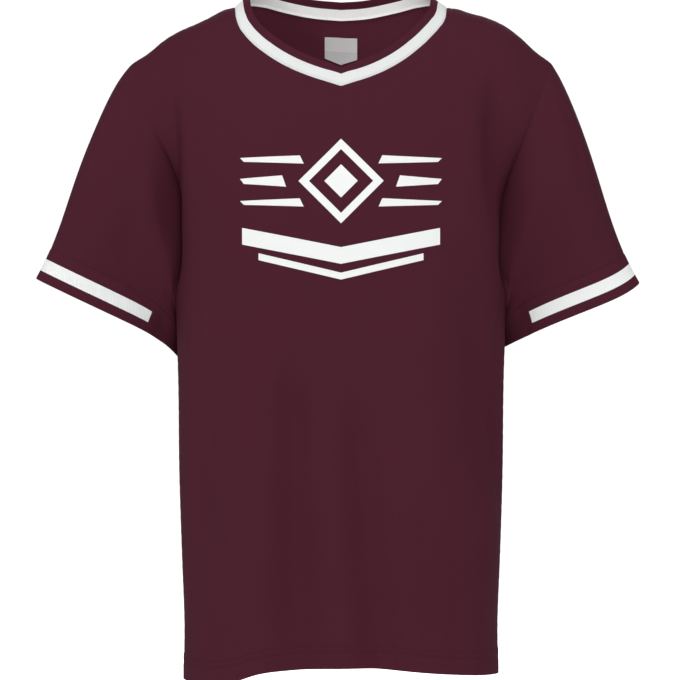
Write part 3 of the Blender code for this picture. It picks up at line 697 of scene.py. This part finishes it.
def sleeve_lines(armhole, sleeve):
    """Start, end and end directions of the cloth's lengthwise lines: from the armhole to a
    superellipse at the cuff's edge, whose underarm corner stands back."""
    angle = 2 * math.pi * np.arange(len(armhole)) / len(armhole)
    turned = np.array([sleeve["hand"], -1.0, 1.0])
    start_way = round_places(SLEEVE_START, angle)
    start_way[:, 0] += sleeve["swing"] * (1 - np.cos(angle)) / 2
    outer, inner = (np.array([x, 0.0, z]) for x, z in (sleeve["outer"], sleeve["inner"]))
    reach, ahead = (np.sign(wave) * np.abs(wave) ** (2.0 / CUFF_SQUARENESS)
                    for wave in (np.cos(angle), np.sin(angle)))
    ring = (outer + inner) / 2 + (inner - outer) / 2 * reach[:, None]
    ring[:, 0] *= sleeve["hand"]
    ring[:, 1] = CUFF_MIDDLE_Y - CUFF_HALF_DEPTH * ahead + CUFF_INNER_SETBACK * (1 + reach) / 2
    ring[:, 2] -= sleeve["sag"][0] * ((1 + reach) / 2) ** sleeve["sag"][1]
    ring[:, 2] += sleeve["curl"][0] * ((1 - reach) / 2) ** sleeve["curl"][1]
    return armhole, ring, start_way * turned, round_places(SLEEVE_END, angle) * turned


def line_point(lines, share):
    """Cubic from start to end along the two directions, at shares (rows by columns)."""
    start, end, start_way, end_way = lines
    length = np.linalg.norm(end - start, axis=1, keepdims=True)
    return hermite(share[..., None], start, end, start_way * length, end_way * length)


def smooth_sleeve(armhole, sleeve):
    """Smooth grid of sleeve and cuff in one, with rows closer at the seams. The cuff starts in
    row SLEEVE_ROWS, at its height above the edge."""
    lines = sleeve_lines(armhole, sleeve)
    fine = np.linspace(0.0, 1.0, LINE_SAMPLES)[:, None] * np.ones(len(armhole))
    length = lengths(line_point(lines, fine), 0)
    seam = np.array([np.interp(length[-1, c] - CUFF_HEIGHT, length[:, c], fine[:, c])
                     for c in range(len(armhole))])
    even = np.linspace(0.0, 1.0, SLEEVE_ROWS + 1)[:, None]
    even = (1 - ROW_CROWDING) * even + ROW_CROWDING / 2 * (1 - np.cos(math.pi * even))
    band = np.linspace(0.0, 1.0, CUFF_ROWS + 1)[1:, None]
    return line_point(lines, np.concatenate([even * seam, seam + (1 - seam) * band]))


def drag_depth(points, folds):
    """Depth of a sleeve's drag lines: bells across straight lines in turn and length."""
    girth = lengths(points[SLEEVE_ROWS // 2:SLEEVE_ROWS // 2 + 1], 1)[0, -1]
    down = lengths(points, 0)
    run_down = down[SLEEVE_ROWS].mean()
    turn = np.linspace(0.0, girth, points.shape[1], endpoint=False)
    flat = np.stack(np.broadcast_arrays(turn, down), axis=-1)
    total = np.zeros(down.shape)
    for turn_a, share_a, turn_b, share_b, width, depth in folds:
        along, away = line_place(flat, (turn_a / 360 * girth, share_a * run_down),
                                 (turn_b / 360 * girth, share_b * run_down))
        ends = eased(along / DRAG_FADES[0]) * eased((1 - along) / DRAG_FADES[1])
        total += depth * np.exp(-(away / width) ** 2) * ends
    return total


def hung_sleeve(sleeve, folds):
    """Sleeve and cuff as they hang, from the smooth armhole of the panels to the cuff's edge,
    with its first row drawn onto the panels' real edge."""
    column = 0 if sleeve["hand"] < 0 else -1
    first = SIDE_SEAM - 1
    smooth, real = (np.concatenate([front[first:, column], back[-2:first:-1, column]])
                    for front, back in ((smooth_panels[-1.0][2], smooth_panels[1.0][2]),
                                        (front_points, back_points)))
    points = smooth_sleeve(smooth, sleeve)
    normals = grid_normals(points, True, -sleeve["hand"])
    down = lengths(points, 0)
    around = lengths(np.concatenate([points, points[:, :1]], axis=1), 1)
    depth = fold_depth(points, normals, -1.0) + fold_depth(points, normals, 1.0)
    depth = depth * eased((down[SLEEVE_ROWS] - down) / BODY_FOLD_FADE)
    depth += drag_depth(points, folds) + slow_waves(points)
    depth += CUFF_SEAM_SHARE * seam_valley(np.abs(down - down[SLEEVE_ROWS]), around[:, :-1])
    points = points - normals * depth[..., None]
    reach = ARMHOLE_SHIFT["reach"][sleeve["hand"]]
    points += armhole_shift(smooth) * np.exp(-down / reach)[..., None]
    points += (real - points[0]) * np.exp(-(down / JOIN_REACH) ** 2)[..., None]
    rise = 1 - np.exp(-(down / SEAM_VALLEY["half_width"]) ** 2)
    rise *= SEAM_VALLEY["depth"] * ARMHOLE_SEAM_SHARE
    return points + normals * (rise * np.exp(-down / JOIN_REACH))[..., None], around, down


sleeve_grids = {name: hung_sleeve(sleeve, SLEEVE_FOLDS[name]) for name, sleeve in SLEEVES.items()}
for name, (points, around, down) in sleeve_grids.items():
    part = points[:SLEEVE_ROWS + 1]
    uv = np.stack([around[:SLEEVE_ROWS + 1, :-1], -down[:SLEEVE_ROWS + 1]], axis=-1)
    piece = cloth_shell("sleeve_" + name + "_cloth", part, uv, CLOTH_THICKNESS, True,
                        -SLEEVES[name]["hand"], maroon_interlock)
    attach(piece, "root")
    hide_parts("sleeve_" + name)


# Cuffs. A band of rib knit, knitted with a white stripe that stops short of the underarm, is
# sewn round the end of each sleeve. Its lower edge is a soft fold.

# The rib's shade, as for the interlock, is painted shade between the wales and painted light on
# them.
RIB = {"wale": 0.0017, "course": 0.0012, "bump": 0.00014, "shade": (0.90, 1.08),
       "unevenness": 0.05}
RIB_THICKNESS = 0.0019
CUFF_STRIPE = {"From": 0.0104, "To": 0.0236, "Start": 0.0690, "Slant": 0.35}
STRIPE_SOFTNESS = 0.0004
# How far each band's stripe is turned towards its underarm
STRIPE_TURN = {"right": 0.0, "left": 0.0045}
CUFF_WHITE = (0.700, 0.714, 0.708, 1.0)
# Painted light: the white stripe is lighter on the inner side of the bands.
PAINTED_LIGHT_INNER_WHITE = (0.850, 0.840, 0.830, 1.0)
# The free edge closes in a half round of this depth, down to this square of its share
FOLD_ROUNDING = 0.0012
FOLD_LEAST = 0.06


def knit_stripe_group():
    """A knitted stripe on cloth coordinates: 1 between two heights, and where the place along the
    band plus slant times the height is past a start, with edges a third of a stitch soft."""
    tree, given, result = group_tree(
        "knit_stripe",
        {"Cloth": "Vector", "From": "Float", "To": "Float", "Start": "Float", "Slant": "Float"},
        "Mask")
    place = shader_node(tree, "SeparateXYZ", {0: given["Cloth"]})

    def past(value, limit):
        """0 to 1 as a value passes a limit."""
        lead = maths(tree, "DIVIDE", maths(tree, "SUBTRACT", value, limit), STRIPE_SOFTNESS)
        return shader_node(tree, "Clamp", {"Value": maths(tree, "ADD", lead, 0.5)}).outputs[0]

    lower = past(place.outputs[1], given["From"])
    upper = past(given["To"], place.outputs[1])
    slanted = maths(tree, "MULTIPLY", place.outputs[1], given["Slant"])
    start = past(maths(tree, "ADD", place.outputs[0], slanted), given["Start"])
    both = maths(tree, "MULTIPLY", lower, upper)
    tree.links.new(maths(tree, "MULTIPLY", both, start), result)
    return tree


knit_stripe = knit_stripe_group()


def rib_cloth(name, stripe, white):
    """Maroon rib knit with a knitted-in white stripe at the given heights of the band, with painted
    shade between its wales, painted light on them and painted light on its inner side.
    """
    material, tree, shader, cloth = cloth_material(name, {"Roughness": 0.82})
    mask = shader_node(tree, "Group", {"Cloth": cloth, **stripe}, node_tree=knit_stripe)
    # Painted light on the inner side of the white stripe.
    both = mixed(tree, inner_side(tree), white, PAINTED_LIGHT_INNER_WHITE)
    yarn = mixed(tree, mask.outputs["Mask"], MAROON, both)
    add_knit(tree, shader, cloth, yarn, RIB)
    return material


def rounded_edge(from_edge, thickness):
    """Thickness of a band that closes in a half round at its free edge."""
    near = np.clip(from_edge / FOLD_ROUNDING, 0.0, 1.0)
    return thickness * np.sqrt(np.clip(near * (2 - near), FOLD_LEAST, 1.0))[..., None]


cuff_rib = rib_cloth("cuff_rib", CUFF_STRIPE, CUFF_WHITE)
for name, (points, around, down) in sleeve_grids.items():
    part = points[SLEEVE_ROWS:]
    height = down[-1] - down[SLEEVE_ROWS:]
    whole = around[SLEEVE_ROWS:, -1:]
    from_underarm = np.minimum(around[SLEEVE_ROWS:, :-1], whole - around[SLEEVE_ROWS:, :-1])
    uv = np.stack([from_underarm + STRIPE_TURN[name], height], axis=-1)
    piece = cloth_shell("cuff_" + name + "_rib", part, uv, rounded_edge(height, RIB_THICKNESS),
                        True, -SLEEVES[name]["hand"], cuff_rib)
    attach(piece, "root")
    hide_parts("cuff_" + name)


# Collar. A V-shaped band of the same rib stands on the neckline, white beside the seam and
# maroon at its free edge, and its two ends are mitred together at the point of the V.

COLLAR_WIDTH = 0.020
# Directions in which the band stands up from the neck seam
COLLAR_WAY = {"front": (0.0, 0.30, 0.95), "back": (0.0, -0.12, 0.99),
              "right": (0.76, 0.0, 0.66), "left": (-0.84, 0.0, 0.56)}
COLLAR_TURN_POWER = 1.5
COLLAR_ROWS = 26
COLLAR_STRIPE = {"From": -0.0100, "To": 0.0118, "Start": -1.0, "Slant": 0.0}
# Painted shade: the collar's stripe white is set darker than the cuffs' white of the same yarn,
# against the brighter light on the collar.
PAINTED_SHADE_COLLAR_WHITE = (0.615, 0.627, 0.622, 1.0)
# The band's face rises from the seam within a reach, and puckers beside it between two heights,
# with a pitch in columns
COLLAR_RISE = {"height": 0.0009, "reach": 0.003}
COLLAR_PUCKER = {"depth": 0.000175, "pitch": 7.3, "from": 0.004, "to": 0.009}
MITRE_REACH = 0.022
MITRE_NARROWING = 0.10
MITRE_GROOVE = {"depth": 0.0005, "half_width": 0.0009}


def collar_band(front, back):
    """Grid of the collar and its cloth coordinates: from the neck seam each line stands square
    to the seam, straight up the middle at the V, and the ways blend from front to side to back."""
    first = SHOULDER_COLUMNS + SEAM_COLUMNS
    last = first + 2 * NECK_COLUMNS
    seam = np.concatenate([front[-1, first:last + 1], back[-1, last - 1:first:-1]])
    count = len(seam)
    is_front = (np.arange(count) <= last - first)[:, None]
    sideways = np.clip(np.abs(seam[:, :1]) / SIDE_NECK, 0.0, 1.0) ** COLLAR_TURN_POWER
    middle = np.where(is_front, COLLAR_WAY["front"], COLLAR_WAY["back"])
    side = np.where(seam[:, :1] < 0, COLLAR_WAY["right"], COLLAR_WAY["left"])
    way = middle * (1 - sideways) + side * sideways
    tangent = unit(np.roll(seam, -2, axis=0) - np.roll(seam, 2, axis=0))
    square = np.where(is_front, eased(np.abs(seam[:, :1]) / MITRE_REACH), 1.0)
    way = unit(way - tangent * np.sum(way * tangent, axis=1, keepdims=True) * square)
    height = np.linspace(0.0, COLLAR_WIDTH, COLLAR_ROWS + 1)
    points = seam + way * height[:, None, None]
    normals = grid_normals(points, True, 1.0)
    lift = COLLAR_RISE["height"] * eased(height / COLLAR_RISE["reach"])[:, None] * np.ones(count)
    centre = np.where(is_front[:, 0], seam[:, 0], 1.0)
    lift = lift - MITRE_GROOVE["depth"] * np.exp(-(centre / MITRE_GROOVE["half_width"]) ** 2)
    wave = np.sin(np.arange(count) * 2 * math.pi / COLLAR_PUCKER["pitch"])
    near = eased(height / COLLAR_PUCKER["from"]) * (1 - eased(height / COLLAR_PUCKER["to"]))
    lift = lift - COLLAR_PUCKER["depth"] * wave * near[:, None]
    points = points + normals * lift[..., None]
    narrowed = 1 - MITRE_NARROWING * (1 - square[:, 0]) * is_front[:, 0]
    uv = np.stack(np.broadcast_arrays(line_length(seam), height[:, None] * narrowed), axis=-1)
    return points, uv


collar_points, collar_uv = collar_band(front_points, back_points)
free_height = COLLAR_WIDTH - np.linspace(0.0, COLLAR_WIDTH, COLLAR_ROWS + 1)[:, None]
collar_thickness = rounded_edge(free_height * np.ones(collar_points.shape[1]), RIB_THICKNESS)
# The collar's white stripe carries painted shade.
collar = cloth_shell("collar_rib", collar_points, collar_uv, collar_thickness, True, 1.0,
                     rib_cloth("collar_rib", COLLAR_STRIPE, PAINTED_SHADE_COLLAR_WHITE))
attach(collar, "root")
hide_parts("collar")


# Neck label. A small blank label of grey satin with a darker lower strip is sewn to the inside
# of the back, and its pointed foot curls off the cloth a little.

LABEL_WIDTH = 0.035
LABEL_HEIGHT = 0.022
LABEL_TIP = 0.006
LABEL_TOP = -0.024
LABEL_TILT = math.radians(2.0)
LABEL_THICKNESS = 0.0006
LABEL_OFF = 0.0013
LABEL_CURL = 0.0012
LABEL_WAVE = 0.0002
LABEL_STRIP = 0.0075
LABEL_STRIP_SOFTNESS = 0.0003
LABEL_GRID = (31, 41)
SATIN_RIB = {"pitch": 0.0005, "bump": 0.00003}
LABEL_GREY = (0.83, 0.80, 0.81, 1.0)
LABEL_FOOT_GREY = (0.72, 0.70, 0.71, 1.0)


def label_grid():
    """Grid of the label on the back panel's inner side, lifted where its foot curls."""
    place = np.linspace(-1.0, 1.0, LABEL_GRID[1])
    drop = np.linspace(1.0, 0.0, LABEL_GRID[0])[:, None]
    length = LABEL_HEIGHT + LABEL_TIP * (1 - np.abs(place))
    across = np.broadcast_to(place * LABEL_WIDTH / 2, LABEL_GRID)
    height = LABEL_TOP - drop * length - across * math.tan(LABEL_TILT)
    turn, level = surface_place(across, height, 1.0)
    points = body_point(turn, level, 1.0)
    normals = grid_normals(points, False, -1.0)
    depth = fold_depth(points, normals, 1.0) + slow_waves(points) + LABEL_OFF
    depth = depth + LABEL_CURL * drop ** 3 + LABEL_WAVE * np.sin(place * 5.0 + drop * 3.0)
    return points - normals * depth[..., None], np.stack([across, -drop * length], axis=-1)


def satin_cloth():
    """Light grey satin, a little glossy, with fine cross ribs and a darker strip at its foot."""
    material, tree, shader, cloth = cloth_material(
        "label_satin", {"Roughness": 0.48, "Sheen Weight": 0.10, "Sheen Roughness": 0.55})
    height = shader_node(tree, "SeparateXYZ", {0: cloth}).outputs[1]
    ribs = maths(tree, "SINE", maths(tree, "MULTIPLY", height, 2 * math.pi / SATIN_RIB["pitch"]))
    add_bump(tree, shader, ribs, SATIN_RIB["bump"])
    edge = LABEL_STRIP - LABEL_HEIGHT
    foot = shader_node(tree, "MapRange",
                       {"Value": height, "From Min": edge - LABEL_STRIP_SOFTNESS,
                        "From Max": edge + LABEL_STRIP_SOFTNESS})
    grey = mixed(tree, foot.outputs["Result"], LABEL_FOOT_GREY, LABEL_GREY)
    add_colour(tree, shader, grey, 0.06)
    return material


label_points, label_uv = label_grid()
label = cloth_shell("neck_label", label_points, label_uv, LABEL_THICKNESS, False, 1.0,
                    satin_cloth())
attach(label, "root")
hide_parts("label")


# Chest print. A flat white transfer film lies pressed on the front: a diamond in an open
# diamond, tapered bars beside it and two chevrons below.

FILM_THICKNESS = 0.00022
FILM_STEP = 0.0022
FILM_WHITE = (0.68, 0.69, 0.685)
NORMAL_STEP = 1e-4
BAR_SLANT = 0.002
DIAMOND = {"height": -0.188, "half": 0.038, "line": 0.0075, "core": 0.0170}
# Bars beside the diamond: height, near and far end from the middle, half widths at these ends
BARS = ((-0.1660, 0.040, 0.101, 0.0042, 0.0020), (-0.1880, 0.058, 0.101, 0.0058, 0.0026),
        (-0.2100, 0.040, 0.101, 0.0042, 0.0020))
# Chevrons: height of the point, drop from the ends to the point, half reach, half width
CHEVRONS = ((-0.2640, 0.020, 0.101, 0.0085), (-0.2850, 0.020, 0.084, 0.0035))


def film_on_front(across, height):
    """Points on the hung front panel's face at x and z, and the normals there."""
    turn, level = surface_place(across, height, -1.0)
    points = body_point(turn, level, -1.0)
    sideways, upward = (
        body_point(turn + a, level + b, -1.0) - body_point(turn - a, level - b, -1.0)
        for a, b in ((NORMAL_STEP, 0.0), (0.0, NORMAL_STEP)))
    normals = unit(np.cross(sideways, upward))
    depth = fold_depth(points, normals, -1.0) + slow_waves(points)
    depth -= CLOTH_THICKNESS / 2 + FILM_THICKNESS / 2
    return points - normals * depth[..., None], normals


def film_patch(across, height, closed=False):
    """Corners and faces of one flat figure of film, given as a grid of x and z."""
    points, normals = film_on_front(across, height)
    if np.cross(*(np.gradient(points, axis=a)[1, 1] for a in (1, 0))) @ normals[1, 1] < 0:
        points, normals = points[::-1], normals[::-1]
    corners = both_faces(points, normals * FILM_THICKNESS / 2)
    return corners, shell_faces(*points.shape[:2], closed)


def steps(length):
    """A count of grid steps for a length of film."""
    return max(2, int(round(abs(length) / FILM_STEP)))


def diamond_corner(turn):
    """Points of the unit diamond |x| + |z| = 1: triangle waves of the turn (0 to 4)."""
    wave = np.abs(np.mod(turn, 4.0) - 2.0) - 1.0
    return wave, np.abs(np.mod(turn - 1.0, 4.0) - 2.0) - 1.0


film = []
side_steps = steps(DIAMOND["half"] * math.sqrt(2))
corner_x, corner_z = diamond_corner(np.arange(4 * side_steps) / side_steps)
radius = DIAMOND["half"] + np.linspace(-0.5, 0.5, 4)[:, None] * DIAMOND["line"] * math.sqrt(2)
film.append(film_patch(radius * corner_x, DIAMOND["height"] + radius * corner_z, closed=True))
tile = np.linspace(-0.5, 0.5, 13) * DIAMOND["core"]
film.append(film_patch(tile[None, :] - tile[:, None],
                       DIAMOND["height"] + tile[None, :] + tile[:, None]))
for height, near, far, near_half, far_half in BARS:
    across = np.linspace(near, far, steps(far - near) + 1)[None, :]
    half = np.linspace(near_half, far_half, across.size)
    for hand in (-1.0, 1.0):
        rows = np.linspace(-1.0, 1.0, 5)[:, None]
        film.append(film_patch(hand * (across + rows * BAR_SLANT), height + rows * half))
for height, drop, reach, half in CHEVRONS:
    across = np.linspace(-reach, reach, 2 * steps(reach) + 1)[None, :]
    rows = np.linspace(-1.0, 1.0, 7)[:, None]
    bent = height + drop * np.abs(across) / reach
    film.append(film_patch(across + 0 * rows, bent + rows * half))


def joined(parts):
    """One list of corners and one of faces from several."""
    starts = np.cumsum([0] + [len(corners) for corners, faces in parts[:-1]])
    return (np.concatenate([corners for corners, faces in parts]),
            np.concatenate([faces + start for start, (corners, faces) in zip(starts, parts)]))


def film_material():
    """White transfer film: smooth and matt, with the knit showing through it very faintly."""
    material, tree, shader = principled(
        "white_film", {"Roughness": 0.55, "Specular IOR Level": 0.35})
    add_bump(tree, shader, object_noise(tree, 900.0, 1.0), 0.00004)
    add_colour(tree, shader, FILM_WHITE, 0.03)
    return material


chest_print = mesh_piece("chest_print", *joined(film), film_material(), 40.0)
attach(chest_print, "root")


# Hem stitching. Two lines of maroon polyester thread, sewn by a twin needle through both layers
# of the turned hem, run all round the body.

STITCH = {"pitch": 0.0031, "half_length": 0.00125, "radius": 0.00024, "lift": 0.00008,
          "rings": 5, "sides": 6}
THREAD_MAROON = (0.050, 0.0074, 0.0162)


def stitch_line(points, normals):
    """Stitches along a line of points: equal steps by length, each stitch a slim ellipsoid
    along the line, pressed onto the cloth."""
    rings, sides = STITCH["rings"], STITCH["sides"]
    length = line_length(points)
    wanted = np.arange(STITCH["pitch"] * 0.5, length[-1], STITCH["pitch"])
    centre, normal, ahead = (
        np.stack([np.interp(at, length, values[:, k]) for k in range(3)], axis=-1)
        for at, values in ((wanted, points), (wanted, normals), (wanted + NORMAL_STEP, points)))
    along = unit(ahead - centre)
    aside = np.cross(normal, along)
    centre = centre + normal * (CLOTH_THICKNESS / 2 + STITCH["lift"])
    polar = np.linspace(0.0, math.pi, rings)[:, None]
    turn = np.arange(sides) * 2 * math.pi / sides
    reach, out, over = (value[..., None] for value in (
        np.cos(polar) * np.ones(sides), np.sin(polar) * np.cos(turn), np.sin(polar) * np.sin(turn)))
    shape = (reach * along[:, None, None] * STITCH["half_length"]
             + (out * normal[:, None, None] + over * aside[:, None, None]) * STITCH["radius"])
    ring = np.arange(rings * sides).reshape(rings, sides)
    turned = np.roll(ring, -1, axis=1)
    quads = np.stack([ring[:-1], turned[:-1], turned[1:], ring[1:]], axis=-1).reshape(-1, 4)
    faces = quads[None] + rings * sides * np.arange(len(centre))[:, None, None]
    return (centre[:, None, None] + shape).reshape(-1, 3), faces.reshape(-1, 4)


def thread_material():
    """Maroon polyester thread with a fine twist."""
    material, tree, shader = principled(
        "maroon_thread", {"Roughness": 0.72, "Specular IOR Level": 0.10})
    place = shader_node(tree, "TexCoord").outputs["Object"]
    twist = shader_node(tree, "TexWave", {"Vector": place, "Scale": 700.0},
                        bands_direction="DIAGONAL")
    add_bump(tree, shader, twist.outputs["Fac"], 0.00003)
    add_colour(tree, shader, THREAD_MAROON, 0.10)
    return material


stitches = []
for points, side in ((front_points, -1.0), (back_points, 1.0)):
    normals = grid_normals(points, False, -side)
    for line in NEEDLE_LINES:
        row = line / HEM_HEIGHT * HEM_ROWS
        low, share = int(row), row % 1
        stitches.append(stitch_line(*(grid[low] * (1 - share) + grid[low + 1] * share
                                      for grid in (points, normals))))
hem_stitching = mesh_piece("hem_stitching", *joined(stitches), thread_material(), 40.0)
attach(hem_stitching, "root")


# Stage. A pale floor, an even white surround and large soft lamps stand round the jersey as in
# a photo studio, and the camera looks at it level from in front.

FLOOR_HEIGHT = -0.95
FLOOR_REACH = 30.0
FLOOR_GLOW = 0.90
corner = np.array([(-1, -1), (1, -1), (1, 1), (-1, 1)], dtype=float) * FLOOR_REACH
floor_corners = np.concatenate([corner, np.full((4, 1), FLOOR_HEIGHT)], axis=1)
floor_material, tree, shader = principled("pale_floor", {
    "Base Color": (0.90, 0.90, 0.90, 1.0), "Roughness": 0.9, "Specular IOR Level": 0.0,
    "Emission Color": (1.0, 1.0, 1.0, 1.0)})
seen = shader_node(tree, "LightPath").outputs["Is Camera Ray"]
tree.links.new(maths(tree, "MULTIPLY", seen, FLOOR_GLOW), shader.inputs["Emission Strength"])
floor = mesh_piece("floor", floor_corners, np.array([[0, 1, 2, 3]]), floor_material, 40.0)

# World: an even surround, whiter where the camera looks at it than where it lights the cloth
SURROUND = {"light": 0.25, "seen": 1.05}
world = bpy.data.worlds.new("studio")
bpy.context.scene.world = world
world.use_nodes = True
tree = world.node_tree
seen = shader_node(tree, "LightPath").outputs["Is Camera Ray"]
surround = shader_node(tree, "MapRange",
                       {"Value": seen, "To Min": SURROUND["light"], "To Max": SURROUND["seen"]})
tree.links.new(surround.outputs["Result"], tree.nodes["Background"].inputs["Strength"])
tree.nodes["Background"].inputs["Color"].default_value = (1.0, 1.0, 1.0, 1.0)

# Lamps: place, height of the aim on the jersey's middle line, side length in metres and watts
LAMPS = {
    "key": ((-2.7, -2.9, 1.2), -0.35, 1.8, 61.0),
    "fill": ((0.2, -4.3, 0.4), -0.30, 1.3, 71.0),
    "top": ((0.0, -0.7, 2.6), -0.20, 1.8, 42.0),
    "right_side": ((-2.9, 0.6, 0.2), -0.35, 2.0, 14.0),
    "left_side": ((3.0, -0.5, 0.4), -0.35, 1.8, 29.0),
    "rear": ((0.2, 3.4, 1.0), -0.30, 2.4, 50.0),
}
for name, (place, aim, size, power) in LAMPS.items():
    light = bpy.data.lights.new(name, "AREA")
    light.shape = "SQUARE"
    light.size = size
    light.energy = power
    lamp = bpy.data.objects.new(name, light)
    bpy.context.scene.collection.objects.link(lamp)
    lamp.location = place
    lamp.rotation_euler = (math.atan2(math.hypot(*place[:2]), place[2] - aim), 0.0,
                           math.atan2(-place[1], -place[0]) - math.pi / 2)

# Camera: at the height of the jersey's middle
camera_data = bpy.data.cameras.new("camera")
camera_data.sensor_width = 36.0
camera_data.lens = 175.8
camera = bpy.data.objects.new("camera", camera_data)
bpy.context.scene.collection.objects.link(camera)
camera.location = (-0.00105, -3.5, -0.350)
camera.rotation_euler = (math.pi / 2, 0.0, 0.0)
bpy.context.scene.camera = camera
bpy.context.scene.view_settings.view_transform = "Standard"
